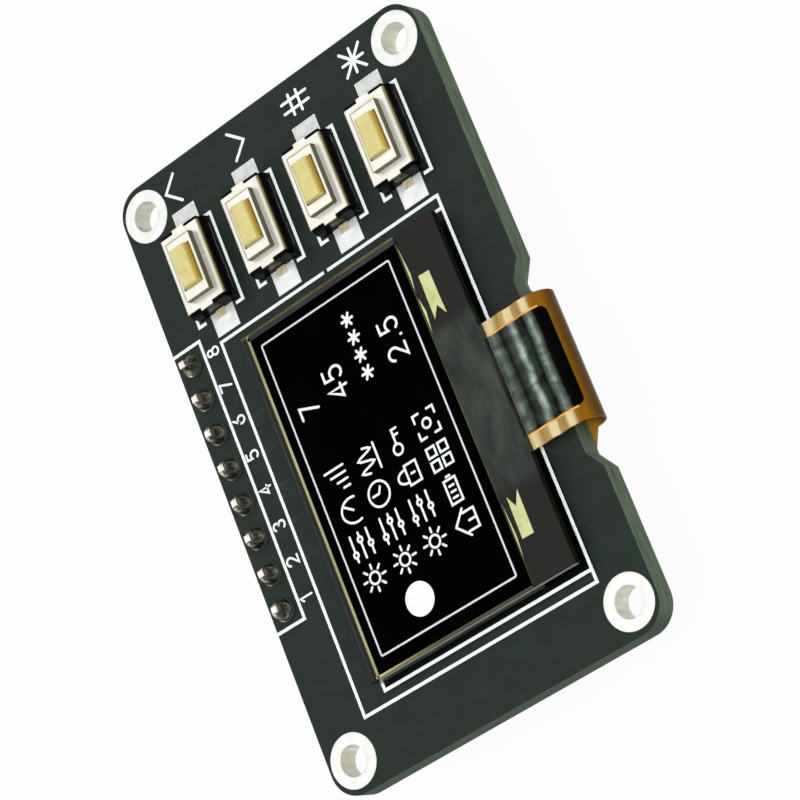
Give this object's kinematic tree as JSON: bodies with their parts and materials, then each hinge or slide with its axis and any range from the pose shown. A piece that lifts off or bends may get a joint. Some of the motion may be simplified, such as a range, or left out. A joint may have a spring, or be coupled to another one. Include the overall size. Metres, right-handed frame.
{
  "type": "display module",
  "caption": "Small monochrome display board with a glass panel on a folded flex cable, tactile keys along one end, header pins along one side and plated corner holes.",
  "frame": {"origin": "centre of the four mounting holes, on the board's back face", "axes": "+Z out of the screen, +X along the display's text lines towards the keys, +Y towards the header"},
  "size_m": [0.044, 0.0277, 0.0127],
  "materials": {
    "solder_mask": "satin",
    "tinned_copper": "satin",
    "white_ink": "matte",
    "black_plastic": "satin",
    "solder": "gloss",
    "foam_tape": "matte",
    "panel_glass": "gloss",
    "desiccant": "matte",
    "display_film": "gloss",
    "polariser_film": "gloss",
    "silicon": "gloss",
    "clear_resin": "gloss",
    "polyimide": "gloss",
    "pin_metal": "gloss",
    "switch_plastic": "gloss",
    "terminal_metal": "satin",
    "spring_steel": "gloss",
    "plunger_plastic": "satin",
    "cover_metal": "satin",
    "capacitor_ceramic": "matte",
    "resistor_ceramic": "gloss"
  },
  "bodies": {
    "board": {"pcb": "solder_mask", "plated_mounting_holes": "tinned_copper", "header_lands": "tinned_copper", "switch_lands": "tinned_copper", "component_lands": "tinned_copper", "silkscreen_print": "white_ink", "header_strip": "black_plastic", "header_pin_1": "pin_metal", "header_pin_2": "pin_metal", "header_pin_3": "pin_metal", "header_pin_4": "pin_metal", "header_pin_5": "pin_metal", "header_pin_6": "pin_metal", "header_pin_7": "pin_metal", "header_pin_8": "pin_metal", "header_solder_joints": "solder", "oled_foam_tape": "foam_tape", "oled_cap_glass": "panel_glass", "oled_desiccant": "desiccant", "oled_emitting_layer": "display_film", "oled_front_glass": "panel_glass", "oled_polariser": "polariser_film", "oled_driver_chip": "silicon", "oled_bond_resin": "clear_resin", "oled_flex_cable": "polyimide", "flex_solder_joints": "solder", "switch_1_base": "switch_plastic", "switch_1_terminal_left": "terminal_metal", "switch_1_terminal_right": "terminal_metal", "switch_1_dome": "spring_steel", "switch_1_cover": "cover_metal", "switch_2_base": "switch_plastic", "switch_2_terminal_left": "terminal_metal", "switch_2_terminal_right": "terminal_metal", "switch_2_dome": "spring_steel", "switch_2_cover": "cover_metal", "switch_3_base": "switch_plastic", "switch_3_terminal_left": "terminal_metal", "switch_3_terminal_right": "terminal_metal", "switch_3_dome": "spring_steel", "switch_3_cover": "cover_metal", "switch_4_base": "switch_plastic", "switch_4_terminal_left": "terminal_metal", "switch_4_terminal_right": "terminal_metal", "switch_4_dome": "spring_steel", "switch_4_cover": "cover_metal", "switch_solder_joints": "solder", "regulator_body": "black_plastic", "regulator_leads": "tinned_copper", "capacitor_bodies": "capacitor_ceramic", "capacitor_ends": "tinned_copper", "resistor_bodies": "resistor_ceramic", "resistor_ends": "tinned_copper"},
    "button_1": {"switch_1_plunger": "plunger_plastic"},
    "button_2": {"switch_2_plunger": "plunger_plastic"},
    "button_3": {"switch_3_plunger": "plunger_plastic"},
    "button_4": {"switch_4_plunger": "plunger_plastic"}
  },
  "joints": [
    {"name": "button_1_press", "type": "slide", "parent": "board", "child": "button_1", "axis": [0, 0, -1], "range_m": [0, 0.00025], "stiffness_N_per_m": 2000, "springref_m": -0.0001, "deforming": ["switch_1_dome"]},
    {"name": "button_2_press", "type": "slide", "parent": "board", "child": "button_2", "axis": [0, 0, -1], "range_m": [0, 0.00025], "stiffness_N_per_m": 2000, "springref_m": -0.0001, "deforming": ["switch_2_dome"]},
    {"name": "button_3_press", "type": "slide", "parent": "board", "child": "button_3", "axis": [0, 0, -1], "range_m": [0, 0.00025], "stiffness_N_per_m": 2000, "springref_m": -0.0001, "deforming": ["switch_3_dome"]},
    {"name": "button_4_press", "type": "slide", "parent": "board", "child": "button_4", "axis": [0, 0, -1], "range_m": [0, 0.00025], "stiffness_N_per_m": 2000, "springref_m": -0.0001, "deforming": ["switch_4_dome"]}
  ]
}
